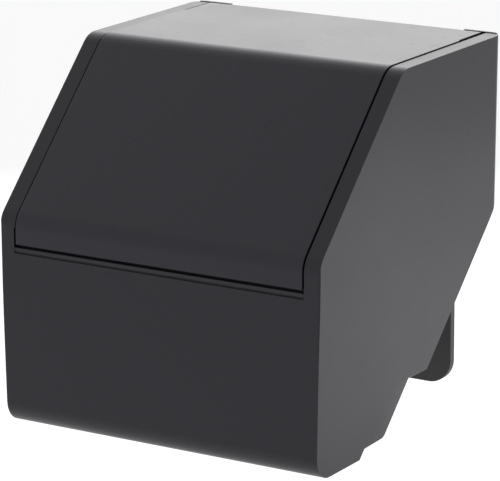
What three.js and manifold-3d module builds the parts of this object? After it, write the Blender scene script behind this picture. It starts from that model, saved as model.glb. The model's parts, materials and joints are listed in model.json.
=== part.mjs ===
// Wall-mounted rodent bait station: a lockable black plastic box that hangs on a wall bracket.
// Millimetres, +Z up, +X to the right, +Y towards the wall. The pieces are laid out with the housing's
// front face at y = 0 and its underside at z = 0; the whole group is then moved so that the origin is
// the centre of the bracket's rear face, which is where the station is held.
import * as THREE from "three";
import { mergeVertices } from "three/addons/utils/BufferGeometryUtils.js";
import Module from "manifold-3d";

// ---------------------------------------------------------------- driving dimensions
const W = 200; // housing width
const HALF = W / 2;
const H = 203.2; // rim height
const D = 199.3; // housing depth, front face to the back of the corner flanges
const D_LOW = 197.6; // depth at the lower end of the flanges, which lean in
const DRAFT = 1.9; // each side wall leans in by this much from the groove down to the underside
const T = 3; // moulded wall thickness
const Z_BEND_LOW = 116.6; // front face turns into the 45 degree slope here
const Y_BEND_TOP = 86.6; // slope turns into the top here
const R_FOOT = 13; // bottom front edge radius
const R_BEND_LOW = 14;
const R_BEND_TOP = 15;
const Z_REAR = 112.0; // side wall's rear edge ends, 45 degree undercut begins
const Y_STEP_A = 117.0; // end of the undercut
const Z_STEP_A = 31.4;
const Y_STEP_B = 97.8; // flat step, then a second 45 degree slope
const Y_STEP_C = 71.4;
const Z_STEP_C = 5.0; // low flat step
const Y_STEP_D = 49.8;
const Y_STEP_E = 44.8; // underside starts
const R_PLAN_REAR = 8; // rear upright corners, in plan
const FLANK_CUT = 0.85; // shallow cut on the lower rear flanks

const RIM = 90.3; // inner face of the side rims: the lid lies between them
const RIM_DEPTH = 5.0; // top of the rebate that carries the seals
const LEDGE = 86.5; // rebate's inner edge
const LEDGE_DEPTH = 8.0;
const FLANGE_IN = 76; // rear corner flanges run from here to the side walls
const FLANGE_T = 1.9;
const EAR_RISE = 0.4; // the flanges' top ends stand this much above the rims

const PROUD = 0.5; // lid stands proud of the rims
const LID_T = 2.8;
const LID_HALF = 89.7;
const LID_HALF_REAR = 88.6; // narrower towards the hinge
const Y_LID_NARROW = 167.5;
const Y_LID_BACK = 195.7;
const Y_LID_BACK_SIDE = 195.1; // cut back beside the corner flanges
const X_LID_BACK = 75.6;
const Z_LID_LIP = 102.9; // lower edge of the lid's lip
const Z_GROOVE = 97.9; // finger groove: top of the front panel
const Z_BEAD = 98.4; // bead in the groove: lower and upper edge
const Z_BEAD_TOP = 101.1;
const Z_UPSTAND = 111; // weather upstand behind the lip

const HINGE_Y = 192.0;
const HINGE_Z = 199.6;
const HINGE_R = 4.1; // lug radius
const PIN_R = 1.5;
const GAP = 0.3;

const PLATE_HALF = 71;
const PLATE_T = 4.6;
const PLATE_BACK = 200.5; // the wall
const PLATE_FRONT = PLATE_BACK - PLATE_T;
const PLATE_LOW = -3.2;
const PLATE_TOP = 182;
const PLATE_R = 14;
const HOOK_X = 46;
const ORIGIN_Z = 90; // height of the origin above the underside

const LOCK_Y = 30; // upright lock spindle
const CAM_Z = 104;

// ---------------------------------------------------------------- solids
const wasm = await Module();
wasm.setup();

function solid(geometry) {
  const g = geometry.clone();
  g.deleteAttribute("normal");
  g.deleteAttribute("uv");
  const m = mergeVertices(g, 1e-4);
  const s = new wasm.Manifold(
    new wasm.Mesh({
      numProp: 3,
      vertProperties: new Float32Array(m.attributes.position.array),
      triVerts: new Uint32Array(m.index.array),
    }),
  );
  return s;
}

function geometryOf(s) {
  const m = s.getMesh();
  const g = new THREE.BufferGeometry();
  const p = new Float32Array((m.vertProperties.length / m.numProp) * 3);
  for (let i = 0, j = 0; i < m.vertProperties.length; i += m.numProp, j += 3) {
    p[j] = m.vertProperties[i];
    p[j + 1] = m.vertProperties[i + 1];
    p[j + 2] = m.vertProperties[i + 2];
  }
  g.setAttribute("position", new THREE.BufferAttribute(p, 3));
  g.setIndex(new THREE.BufferAttribute(new Uint32Array(m.triVerts), 1));
  const flat = g.toNonIndexed();
  flat.computeVertexNormals();
  return flat;
}

const union = (...s) => s.reduce((a, b) => a.add(b));
const cut = (a, ...s) => s.reduce((x, b) => x.subtract(b), a);

// A corner list [u, v, radius] becomes a polygon whose corners are arcs of n steps.
function rounded(corners, n = 8) {
  const out = [];
  const c = corners.length;
  for (let i = 0; i < c; i++) {
    const [x, y, r = 0] = corners[i];
    if (!r) {
      out.push(new THREE.Vector2(x, y));
      continue;
    }
    const p = new THREE.Vector2(x, y);
    const [ax, ay] = corners[(i + c - 1) % c];
    const [bx, by] = corners[(i + 1) % c];
    const a = new THREE.Vector2(ax, ay).sub(p).normalize();
    const b = new THREE.Vector2(bx, by).sub(p).normalize();
    const half = Math.acos(Math.max(-1, Math.min(1, a.dot(b)))) / 2;
    const t = r / Math.tan(half);
    const centre = p.clone().add(
      a.clone().add(b).normalize().multiplyScalar(r / Math.sin(half)),
    );
    const s = p.clone().addScaledVector(a, t).sub(centre);
    const e = p.clone().addScaledVector(b, t).sub(centre);
    const a0 = Math.atan2(s.y, s.x);
    let turn = Math.atan2(e.y, e.x) - a0;
    while (turn > Math.PI) turn -= 2 * Math.PI;
    while (turn < -Math.PI) turn += 2 * Math.PI;
    for (let k = 0; k <= n; k++) {
      const w = a0 + (turn * k) / n;
      out.push(
        new THREE.Vector2(centre.x + r * Math.cos(w), centre.y + r * Math.sin(w)),
      );
    }
  }
  return out;
}

function extrude(points, depth, basis, origin) {
  const list = points.map((p) =>
    p.isVector2 ? p.clone() : new THREE.Vector2(p[0], p[1]),
  );
  const g = new THREE.ExtrudeGeometry(new THREE.Shape(list), {
    depth,
    bevelEnabled: false,
    curveSegments: 12,
  });
  g.applyMatrix4(basis);
  g.translate(...origin);
  return solid(g);
}
const V = (x, y, z) => new THREE.Vector3(x, y, z);
const B_YZ = new THREE.Matrix4().makeBasis(V(0, 1, 0), V(0, 0, 1), V(1, 0, 0));
const B_XY = new THREE.Matrix4();
const B_XZ = new THREE.Matrix4().makeBasis(V(1, 0, 0), V(0, 0, 1), V(0, -1, 0));
const alongX = (yz, x0, x1) => extrude(yz, x1 - x0, B_YZ, [x0, 0, 0]);
const alongZ = (xy, z0, z1) => extrude(xy, z1 - z0, B_XY, [0, 0, z0]);
const alongY = (xz, y0, y1) => extrude(xz, y1 - y0, B_XZ, [0, y1, 0]);

function box(x0, x1, y0, y1, z0, z1) {
  const g = new THREE.BoxGeometry(x1 - x0, y1 - y0, z1 - z0);
  g.translate((x0 + x1) / 2, (y0 + y1) / 2, (z0 + z1) / 2);
  return solid(g);
}

// A cylinder between two points; n sides.
function rod(a, b, r, n = 24, r2 = r) {
  const A = V(...a);
  const Bp = V(...b);
  const dir = Bp.clone().sub(A);
  const g = new THREE.CylinderGeometry(r2, r, dir.length(), n);
  g.applyQuaternion(
    new THREE.Quaternion().setFromUnitVectors(V(0, 1, 0), dir.clone().normalize()),
  );
  const m = A.clone().add(Bp).multiplyScalar(0.5);
  g.translate(m.x, m.y, m.z);
  return solid(g);
}

const moved = (s, x, y, z) => {
  const g = geometryOf(s);
  g.translate(x, y, z);
  return solid(g);
};

const pieces = new THREE.Group();
const colours = {
  shell: [0x2b2b2e, 0.42, 0],
  inner: [0x242426, 0.6, 0],
  rubber: [0x17171a, 0.9, 0],
  steel: [0xa9adb1, 0.32, 1],
  brass: [0xb9975a, 0.35, 1],
  tray: [0x35363a, 0.5, 0],
  wax: [0x2f7fa6, 0.65, 0],
};
function add(name, s, look) {
  const [color, roughness, metalness] = colours[look];
  const mesh = new THREE.Mesh(
    geometryOf(s),
    new THREE.MeshStandardMaterial({ color, roughness, metalness }),
  );
  mesh.name = name;
  pieces.add(mesh);
  return s;
}

// ---------------------------------------------------------------- housing
// Side outline, front foot corner first, running up the front and round to the underside.
const outline = [
  [0, 0, R_FOOT],
  [0, Z_BEND_LOW, R_BEND_LOW],
  [Y_BEND_TOP, H, R_BEND_TOP],
  [D, H],
  [D_LOW, Z_REAR, 3],
  [Y_STEP_A, Z_STEP_A, 1.5],
  [Y_STEP_B, Z_STEP_A, 2],
  [Y_STEP_C, Z_STEP_C, 6],
  [Y_STEP_D, Z_STEP_C, 1.5],
  [Y_STEP_E, 0, 1.5],
];
// The slope and top of the outline, moved inwards by d, closed far above: the space over the shell.
const r2 = Math.SQRT2;
const k8 = Math.tan(Math.PI / 8);
function above(d, yBack = D + 30) {
  const k = Math.tan(Math.PI / 8) * d;
  return [
    [d, -40],
    [yBack, -40],
    [yBack, H - d],
    [Y_BEND_TOP + k, H - d, Math.max(2, R_BEND_TOP - d)],
    [d, Z_BEND_LOW - k, Math.max(2, R_BEND_LOW - d)],
  ].reverse();
}
const FAR = 400;
const hood = (d, x0, x1) =>
  // everything outside the slope and top at depth d, between x0 and x1
  cut(box(x0, x1, -60, FAR, -60, FAR), alongX(rounded(above(d, FAR + 50)), x0 - 1, x1 + 1));

// Side walls: upright above the groove, leaning in below it. t is the distance inside the outer face.
const flanks = (t) => [
  [-(HALF - DRAFT - t) + (DRAFT * 40) / Z_GROOVE, -40],
  [HALF - DRAFT - t - (DRAFT * 40) / Z_GROOVE, -40],
  [HALF - t, Z_GROOVE],
  [HALF - t, 340],
  [-(HALF - t), 340],
  [-(HALF - t), Z_GROOVE],
];
const betweenFlanks = (t) => alongY(flanks(t), -20, D + 60);
const planFront = alongZ(
  rounded([
    [-HALF, 0, 1.2],
    [HALF, 0, 1.2],
    [HALF, D + 60],
    [-HALF, D + 60],
  ], 6),
  -10,
  300,
);
// Rear upright corners, leaning with the flanges.
const planRear = (() => {
  const g = new THREE.ExtrudeGeometry(
    new THREE.Shape(
      rounded([
        [-HALF, -60],
        [HALF, -60],
        [HALF, D, R_PLAN_REAR],
        [-HALF, D, R_PLAN_REAR],
      ], 7),
    ),
    { depth: 340, bevelEnabled: false },
  );
  g.translate(0, 0, -40);
  const lean = (D - D_LOW) / (H - Z_REAR);
  const m = new THREE.Matrix4().set(1, 0, 0, 0, 0, 1, lean, -lean * H, 0, 0, 1, 0, 0, 0, 0, 1);
  g.applyMatrix4(m);
  return solid(g);
})();
const inPlan = (s) => s.intersect(planFront).intersect(planRear);
const block = inPlan(alongX(rounded(outline, 10), -HALF, HALF)).intersect(betweenFlanks(0));

// Inside of the shell below the rims. The rear is closed only by the two corner flanges.
const inside = [
  [T, T, R_FOOT - T],
  [T, Z_BEND_LOW + 60],
  [60, 340],
  [D - FLANGE_T, 340],
  [D - FLANGE_T, 190],
  [D_LOW - FLANGE_T, Z_REAR],
  [D_LOW - FLANGE_T, -40],
  [Y_STEP_A + 6, -40],
  [Y_STEP_A + 6, Z_STEP_A + T],
  [Y_STEP_B - T * Math.tan(Math.PI / 8), Z_STEP_A + T],
  [Y_STEP_C - T * Math.tan(Math.PI / 8), Z_STEP_C + T],
  [Y_STEP_D - T * Math.tan(Math.PI / 8), Z_STEP_C + T],
  [Y_STEP_E - T * Math.tan(Math.PI / 8), T],
];
const insideSolid = alongX(rounded(inside), -(HALF - T), HALF - T).intersect(betweenFlanks(T));
// hollow of full width, kept below the rims; the front wall keeps its thickness T
const hollow = insideSolid.intersect(
  alongX(
    rounded([
      [T, -40],
      [T, Z_BEND_LOW + T - LEDGE_DEPTH * r2],
      [Y_BEND_TOP + k8 * LEDGE_DEPTH, H - LEDGE_DEPTH, R_BEND_TOP - LEDGE_DEPTH],
      [D + 20, H - LEDGE_DEPTH],
      [D + 20, -40],
    ]),
    -HALF,
    HALF,
  ),
);
// mouth between the rebates, and between the rims
const mouthLow = alongX(
  [
    [5.4, 30],
    [5.4, 340],
    [D - FLANGE_T, 340],
    [D - FLANGE_T, 190],
    [D_LOW - FLANGE_T, Z_REAR],
    [D_LOW - FLANGE_T, 30],
  ],
  -LEDGE,
  LEDGE,
).intersect(hood(LEDGE_DEPTH + 0.5, -LEDGE, LEDGE));
const mouthTop = alongX(
  [
    [-20, Z_UPSTAND],
    [-20, 340],
    [D - FLANGE_T, 340],
    [D - FLANGE_T, Z_UPSTAND],
  ],
  -RIM,
  RIM,
).intersect(hood(RIM_DEPTH, -RIM, RIM));
// finger groove: a fine gap over the front panel, a bead that leans out, a trough behind it, then the
// upstand behind the lid's lip
const groove = alongX(
  [
    [-20, Z_GROOVE],
    [1.0, Z_GROOVE],
    [1.0, Z_BEAD],
    [0.85, Z_BEAD],
    [0.45, Z_BEAD + 0.35],
    [0.12, Z_BEAD_TOP - 0.35],
    [0.4, Z_BEAD_TOP],
    [1.1, Z_BEAD_TOP],
    [1.3, Z_BEAD_TOP - 1.1],
    [3.3, Z_BEAD_TOP - 1.1],
    [3.3, Z_UPSTAND + 1],
    [-20, Z_UPSTAND + 1],
  ],
  -91.0,
  RIM,
);
const rearGap = box(-FLANGE_IN, FLANGE_IN, 194.6, D + 30, -40, 340);
let housing = cut(block, hollow, mouthLow, mouthTop, groove, rearGap);

// front wall thickens to carry the upstand
housing = housing.add(box(-92, 92, 2.2, 5.4, 88, Z_UPSTAND).intersect(cut(box(-92, 92, 0, 6, 80, 120), groove)));
// shallow wedge off each lower rear flank, with a small step where it meets the wall above
for (const s of [-1, 1]) {
  const x = (v) => s * v;
  const wall = (z) => HALF - (DRAFT * (Z_GROOVE - z)) / Z_GROOVE; // outer face at height z
  const v = [
    [x(wall(Z_STEP_A)), 81.2, Z_STEP_A], // 0 tip on the crease
    [x(wall(4)), 50.3, Z_STEP_C - 1.0], // 1 lower end of the fold
    [x(wall(Z_STEP_A) - FLANK_CUT), Y_STEP_B + 3, Z_STEP_A], // 2 inner rear top
    [x(wall(4) - FLANK_CUT), Y_STEP_C + 3, Z_STEP_C - 1.0], // 3 inner rear low
    [x(104), 81.2, Z_STEP_A], // 4
    [x(104), 50.3, Z_STEP_C - 1.0], // 5
    [x(104), Y_STEP_B + 3, Z_STEP_A], // 6
    [x(104), Y_STEP_C + 3, Z_STEP_C - 1.0], // 7
  ].flat();
  const f = [
    0, 1, 3, 0, 3, 2, 4, 6, 7, 4, 7, 5, 0, 2, 6, 0, 6, 4, 1, 5, 7, 1, 7, 3, 2, 3, 7, 2, 7, 6, 0, 4, 5, 0, 5, 1,
  ];
  if (s > 0) for (let i = 0; i < f.length; i += 3) [f[i + 1], f[i + 2]] = [f[i + 2], f[i + 1]];
  let w = new wasm.Manifold(
    new wasm.Mesh({
      numProp: 3,
      vertProperties: new Float32Array(v),
      triVerts: new Uint32Array(f),
    }),
  );
  if (w.volume() < 0) {
    const g = [...f];
    for (let i = 0; i < g.length; i += 3) [g[i + 1], g[i + 2]] = [g[i + 2], g[i + 1]];
    w = new wasm.Manifold(
      new wasm.Mesh({ numProp: 3, vertProperties: new Float32Array(v), triVerts: new Uint32Array(g) }),
    );
  }
  housing = housing.subtract(w);
  // the step's shoulder runs out at 45 degrees and fades along the flat step behind it
  const top = wall(Z_STEP_A);
  const g = new THREE.ExtrudeGeometry(
    new THREE.Shape(
      [
        [x(top), 81.2],
        [x(top - 0.72), Y_STEP_B],
        [x(top + 0.05), Y_STEP_A + 1],
        [x(top + 6), Y_STEP_A + 1],
        [x(top + 6), 81.2],
      ].map((q) => new THREE.Vector2(...q)),
    ),
    { depth: 5, bevelEnabled: false },
  );
  const z0 = Z_STEP_A - 0.02;
  g.applyMatrix4(new THREE.Matrix4().set(1, 0, s, 0, 0, 1, 0, 0, 0, 0, 1, z0, 0, 0, 0, 1));
  housing = housing.subtract(solid(g));
}
// corner flanges' raised ends behind the lid
for (const s of [-1, 1]) {
  const a = s > 0 ? FLANGE_IN : -HALF;
  const b = s > 0 ? HALF : -FLANGE_IN;
  housing = housing.add(
    inPlan(box(a, b, D - FLANGE_T, D + 5, 185, H + EAR_RISE)),
  );
}
// hinge blocks in the rear ends of the rims, blind holes for the pins
for (const s of [-1, 1]) {
  const lo = Math.min(s * RIM, s * (HALF - 1));
  const hi = Math.max(s * RIM, s * (HALF - 1));
  housing = housing.add(inPlan(box(lo, hi, 183, D - 1, 190, H - 0.4)));
  // room for the lid's hinge lugs in front of the flanges
  const la = Math.min(s * 70, s * RIM);
  const lb = Math.max(s * 70, s * RIM);
  housing = housing.subtract(box(la, lb, 184, D - FLANGE_T, 188, 300));
  housing = housing.subtract(rod([s * (RIM - 1), HINGE_Y, HINGE_Z], [s * 96.5, HINGE_Y, HINGE_Z], PIN_R + GAP, 16));
}
// rear cross rail that hangs on the bracket's hooks
const RAIL_Y0 = 188.6;
const RAIL_Y1 = 192.6;
const RAIL_Z0 = 162.6;
const RAIL_Z1 = 178;
housing = housing.add(box(-(HALF - 1.5), HALF - 1.5, RAIL_Y0, RAIL_Y1, RAIL_Z0, RAIL_Z1));
// guide ribs for the baffle
const BAFFLE_Y = 110;
for (const s of [-1, 1])
  for (const y of [BAFFLE_Y - 2.8, BAFFLE_Y + 2.8])
    housing = housing.add(
      box(Math.min(s * 92.5, s * 98), Math.max(s * 92.5, s * 98), y, y + 2.4, 45, 148),
    );
// ribs that the bait tray stands on
for (const s of [-1, 1]) housing = housing.add(box(s * 60 - 1.5, s * 60 + 1.5, 51, 68, 7, 10.7));
// screw posts for the entry panel, square to the 45 degree undercut
const N = [0, -1 / r2, 1 / r2]; // into the station, normal to the undercut
const onSlope = (x, y, d) => {
  // a point on the undercut plane below y, then d mm into the station
  const z = y - (D_LOW - Z_REAR);
  return [x, y + N[1] * d, z + N[2] * d];
};
const PANEL_D0 = 2.0;
const PANEL_D1 = 5.0;
const panelScrews = [];
for (const s of [-1, 1])
  for (const y of [134, 178]) {
    panelScrews.push([s, y]);
    const p0 = onSlope(s * 90.5, y, PANEL_D1 + GAP);
    const p1 = onSlope(s * 90.5, y, 14);
    housing = housing.add(
      rod(p0, p1, 4.2, 16).add(
        // web from the post to the side wall
        (() => {
          const g = new THREE.BoxGeometry(8.5, 5, 14 - PANEL_D1 - GAP);
          g.rotateX(Math.PI / 4);
          const m = onSlope(s * 93.9, y, (14 + PANEL_D1 + GAP) / 2);
          g.translate(...m);
          return solid(g);
        })(),
      ),
    );
    housing = housing.subtract(
      rod(onSlope(s * 90.5, y, PANEL_D1 - 1), onSlope(s * 90.5, y, 12), 1.7, 12),
    );
  }
// bosses for the spindle bracket on the front wall
const BRACKET_Z = 86;
const BRACKET_X = 17;
for (const s of [-1, 1]) {
  housing = housing.add(rod([s * BRACKET_X, 2, BRACKET_Z], [s * BRACKET_X, 9, BRACKET_Z], 4, 16));
  housing = housing.subtract(rod([s * BRACKET_X, 4, BRACKET_Z], [s * BRACKET_X, 10, BRACKET_Z], 1.6, 12));
}
// hole for the lock in the underside
housing = housing.subtract(rod([0, LOCK_Y, -2], [0, LOCK_Y, 6], 10.3, 28));
// clear any sliver above the slope between the rims' outer face and the lid
add("housing", housing, "shell");

// ---------------------------------------------------------------- lid
// Outer and inner outlines of the lid in side view, then trimmed in plan.
const lidOuter = [
  [-PROUD, Z_LID_LIP],
  [-PROUD, Z_BEND_LOW + PROUD * k8, R_BEND_LOW + PROUD],
  [Y_BEND_TOP - PROUD * k8, H + PROUD, R_BEND_TOP + PROUD],
  [Y_LID_BACK, H + PROUD],
  [Y_LID_BACK, H + PROUD - LID_T],
  [Y_BEND_TOP - PROUD * k8 + LID_T * k8, H + PROUD - LID_T, R_BEND_TOP + PROUD - LID_T],
  [-PROUD + LID_T, Z_BEND_LOW + PROUD * k8 - LID_T * k8, R_BEND_LOW + PROUD - LID_T],
  [-PROUD + LID_T, Z_LID_LIP],
];
const lidPlan = [
  [-LID_HALF, -5],
  [LID_HALF, -5],
  [LID_HALF, Y_LID_NARROW],
  [LID_HALF_REAR, Y_LID_NARROW + 2.5],
  [LID_HALF_REAR, Y_LID_BACK_SIDE],
  [X_LID_BACK, Y_LID_BACK_SIDE],
  [X_LID_BACK, Y_LID_BACK],
  [-X_LID_BACK, Y_LID_BACK],
  [-X_LID_BACK, Y_LID_BACK_SIDE],
  [-LID_HALF_REAR, Y_LID_BACK_SIDE],
  [-LID_HALF_REAR, Y_LID_NARROW + 2.5],
  [-LID_HALF, Y_LID_NARROW],
];
let lid = alongX(rounded(lidOuter, 10), -LID_HALF, LID_HALF).intersect(alongZ(lidPlan, 50, 260));
// stiffening ribs under the slope and top
const ribLine = (d0, d1) => [
  [14 + d1, Z_BEND_LOW + 14 + d1 - d1 * r2 - 4],
  [Y_BEND_TOP + 1, H - d1],
  [176, H - d1],
  [176, H - d0],
  [Y_BEND_TOP - 1, H - d0],
  [14 + d0, Z_BEND_LOW + 14 + d0 - d0 * r2],
];
for (const x of [-58, -30, 30, 58]) lid = lid.add(alongX(ribLine(1.2, 7.0), x - 1, x + 1));
// hinge lugs
for (const s of [-1, 1]) {
  const a = [s * 83, HINGE_Y, HINGE_Z];
  const b = [s * LID_HALF_REAR, HINGE_Y, HINGE_Z];
  const lo = Math.min(a[0], b[0]);
  const hi = Math.max(a[0], b[0]);
  const arch = box(lo, hi, HINGE_Y - HINGE_R, HINGE_Y + 2.5, HINGE_Z, H + PROUD - 0.6);
  lid = lid.add(rod(a, b, HINGE_R - 0.05, 20).intersect(box(lo, hi, 180, Y_LID_BACK_SIDE + 1.2, 180, H + PROUD - 0.05))).add(arch);
  lid = lid.subtract(rod([s * 81, HINGE_Y, HINGE_Z], [s * 92, HINGE_Y, HINGE_Z], PIN_R + GAP, 16));
}
// pad for the steel catch under the slope
const slopeIn = (y, d) => y + Z_BEND_LOW + PROUD * r2 - d * r2; // z of the slope at depth d
const PAD_D = LID_T + 3;
lid = lid.add(
  alongX(
    [
      [19, slopeIn(19, LID_T - 0.6)],
      [44, slopeIn(44, LID_T - 0.6)],
      [44 + 1.5, slopeIn(44 + 1.5, PAD_D)],
      [19 + 1.5, slopeIn(19 + 1.5, PAD_D)],
    ].reverse(),
    -20,
    22,
  ),
);
const CATCH_SCREWS = [-10, 14];
const slopeAt = (x, y, d) => {
  // point on the lid's outer slope plane at y, then d mm inwards
  return [x, y + d / r2, y + Z_BEND_LOW + PROUD * r2 - d / r2];
};
for (const x of CATCH_SCREWS)
  lid = lid.subtract(rod(slopeAt(x, 29, 1.6), slopeAt(x, 29, PAD_D + 1), 1.5, 12));
add("lid", lid, "shell");

// hinge pins, held in the rims' blind holes
for (const [name, s] of [["hinge_pin_left", -1], ["hinge_pin_right", 1]])
  add(name, rod([s * 83.4, HINGE_Y, HINGE_Z], [s * 96.1, HINGE_Y, HINGE_Z], PIN_R, 16), "steel");

// rubber seals on the rebates, under the lid's side edges
for (const [name, s] of [["lid_seal_left", -1], ["lid_seal_right", 1]]) {
  const a = 87.0;
  const b = 89.9;
  const strip = (d0, d1) => [
    [9.5 + d1, Z_BEND_LOW + 9.5 + d1 - d1 * r2],
    [Y_BEND_TOP + d1 * k8, H - d1, R_BEND_TOP - d1],
    [180, H - d1],
    [180, H - d0],
    [Y_BEND_TOP + d0 * k8, H - d0, R_BEND_TOP - d0],
    [9.5 + d0, Z_BEND_LOW + 9.5 + d0 - d0 * r2],
  ];
  add(
    name,
    alongX(rounded(strip(RIM_DEPTH - 2.1, RIM_DEPTH - GAP)), Math.min(s * a, s * b), Math.max(s * a, s * b)),
    "rubber",
  );
}

// ---------------------------------------------------------------- catch on the lid
const FL0 = PAD_D + GAP; // flange, measured square to the slope
const FL1 = FL0 + 2;
const CATCH_Y = 16.5;
let lidCatch = alongX(
  [
    [CATCH_Y, 98.6],
    [CATCH_Y + 2, 98.6],
    [CATCH_Y + 2, slopeIn(CATCH_Y + 2, FL1)],
    [46, slopeIn(46, FL1)],
    [46, slopeIn(46, FL0)],
    [CATCH_Y, slopeIn(CATCH_Y, FL0)],
  ],
  -14,
  18,
);
lidCatch = lidCatch.subtract(box(-9, 13, CATCH_Y - 1, CATCH_Y + 3, 102, 109.5));
for (const x of CATCH_SCREWS)
  lidCatch = lidCatch.subtract(rod(slopeAt(x, 29, FL0 - 2), slopeAt(x, 29, FL1 + 3), 1.7, 12));
add("lid_catch", lidCatch, "steel");
CATCH_SCREWS.forEach((x, i) => {
  let s = rod(slopeAt(x, 29, 2.2), slopeAt(x, 29, FL1 + 0.6), 1.2, 12).add(
    rod(slopeAt(x, 29, FL1 + GAP), slopeAt(x, 29, FL1 + 2.1), 2.9, 16, 2.3),
  );
  s = s.subtract(
    (() => {
      const g = new THREE.BoxGeometry(4.2, 0.8, 1.6);
      g.rotateX(Math.PI / 4);
      g.translate(...slopeAt(x, 29, FL1 + 2.3));
      return solid(g);
    })(),
  );
  add(i ? "catch_screw_right" : "catch_screw_left", s, "steel");
});

// ---------------------------------------------------------------- lock
// sleeve pushed in from inside, its flange on the floor
const bush = cut(
  union(
    rod([0, LOCK_Y, 0.5], [0, LOCK_Y, 14], 10, 28),
    rod([0, LOCK_Y, T + GAP], [0, LOCK_Y, T + GAP + 2.4], 13.5, 28),
  ),
  rod([0, LOCK_Y, -1], [0, LOCK_Y, 20], 8.2, 28),
);
add("lock_bush", bush, "inner");
let barrel = union(
  rod([0, LOCK_Y, 0.8], [0, LOCK_Y, 20], 7.9, 28),
  rod([0, LOCK_Y, 15.8], [0, LOCK_Y, 20], 7.9, 28),
);
barrel = cut(
  barrel,
  rod([0, LOCK_Y, 0], [0, LOCK_Y, 7.5], 3.1, 16), // key hole
  box(-5.8, 5.8, LOCK_Y - 1.2, LOCK_Y + 1.2, 0, 6.5),
  rod([0, LOCK_Y, 12.5], [0, LOCK_Y, 21], 3.3, 20), // socket for the spindle
  cut(rod([0, LOCK_Y, 14.3], [0, LOCK_Y, 15.9], 9, 28), rod([0, LOCK_Y, 14], [0, LOCK_Y, 16.2], 6.6, 28)),
);
add("lock_barrel", barrel, "brass");
// open retaining ring in the barrel's groove
const ring = cut(
  rod([0, LOCK_Y, 14.5], [0, LOCK_Y, 15.6], 9.9, 28),
  rod([0, LOCK_Y, 14], [0, LOCK_Y, 16], 6.9, 28),
  box(-2.6, 2.6, LOCK_Y + 2, LOCK_Y + 12, 14, 16),
);
add("retaining_ring", ring, "steel");
add("lock_spindle", rod([0, LOCK_Y, 12.9], [0, LOCK_Y, 113], 3, 20), "steel");
const cam = cut(
  union(
    rod([0, LOCK_Y, CAM_Z - 1.5], [0, LOCK_Y, CAM_Z + 3], 7, 24),
    alongZ(rounded([[0, LOCK_Y - 4], [15.5, LOCK_Y - 4, 1.5], [15.5, LOCK_Y + 4, 1.5], [0, LOCK_Y + 4]], 3), CAM_Z, CAM_Z + 3),
  ),
  rod([0, LOCK_Y, CAM_Z - 3], [0, LOCK_Y, CAM_Z + 5], 3.3, 20),
);
add("lock_cam", cam, "steel");
add(
  "cam_nut",
  cut(
    rod([0, LOCK_Y, CAM_Z + 3.3], [0, LOCK_Y, CAM_Z + 7.3], 5.8, 6),
    rod([0, LOCK_Y, CAM_Z + 2], [0, LOCK_Y, CAM_Z + 9], 3.3, 20),
  ),
  "steel",
);
// upper bearing of the spindle, screwed to the front wall's bosses
let bracket = union(
  box(-23, 23, 9.3, 11.8, BRACKET_Z - 6.5, 96),
  alongZ(rounded([[-9, 11], [9, 11], [9, 38, 6], [-9, 38, 6]], 4), 92, 96),
  alongX([[11, 84], [11, 92.5], [22, 92.5]].reverse(), -9, -6.8),
  alongX([[11, 84], [11, 92.5], [22, 92.5]].reverse(), 6.8, 9),
);
bracket = cut(bracket, rod([0, LOCK_Y, 90], [0, LOCK_Y, 98], 3.35, 20));
for (const s of [-1, 1])
  bracket = bracket.subtract(rod([s * BRACKET_X, 8, BRACKET_Z], [s * BRACKET_X, 13, BRACKET_Z], 1.7, 12));
add("spindle_bracket", bracket, "inner");
for (const [name, s] of [["bracket_screw_left", -1], ["bracket_screw_right", 1]])
  add(
    name,
    cut(
      union(
        rod([s * BRACKET_X, 4.6, BRACKET_Z], [s * BRACKET_X, 12.4, BRACKET_Z], 1.3, 12),
        rod([s * BRACKET_X, 12.1, BRACKET_Z], [s * BRACKET_X, 14.2, BRACKET_Z], 3, 16, 2.4),
      ),
      box(s * BRACKET_X - 2, s * BRACKET_X + 2, 13.4, 15, BRACKET_Z - 0.4, BRACKET_Z + 0.4),
    ),
    "steel",
  );

// ---------------------------------------------------------------- entry panel under the rear
// A sheet set just inside the 45 degree undercut, with two ways in for the animal.
const ENTRY_X = 47;
const ENTRY_R = 28;
const ENTRY_Y = 156;
function onPanel(x, y) {
  return [onSlope(x, y, -6), onSlope(x, y, 16)];
}
let panel = (() => {
  const a0 = onSlope(0, 121, PANEL_D0);
  const a1 = onSlope(0, 121, PANEL_D1);
  const b0 = onSlope(0, 194, PANEL_D0);
  const b1 = onSlope(0, 194, PANEL_D1);
  return alongX(
    [
      [a0[1], a0[2]],
      [b0[1], b0[2]],
      [b1[1], b1[2]],
      [a1[1], a1[2]],
    ],
    -(HALF - T - GAP),
    HALF - T - GAP,
  ).intersect(betweenFlanks(T + GAP));
})();
for (const s of [-1, 1]) {
  panel = panel.subtract(rod(...onPanel(s * ENTRY_X, ENTRY_Y), ENTRY_R, 40));
}
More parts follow.
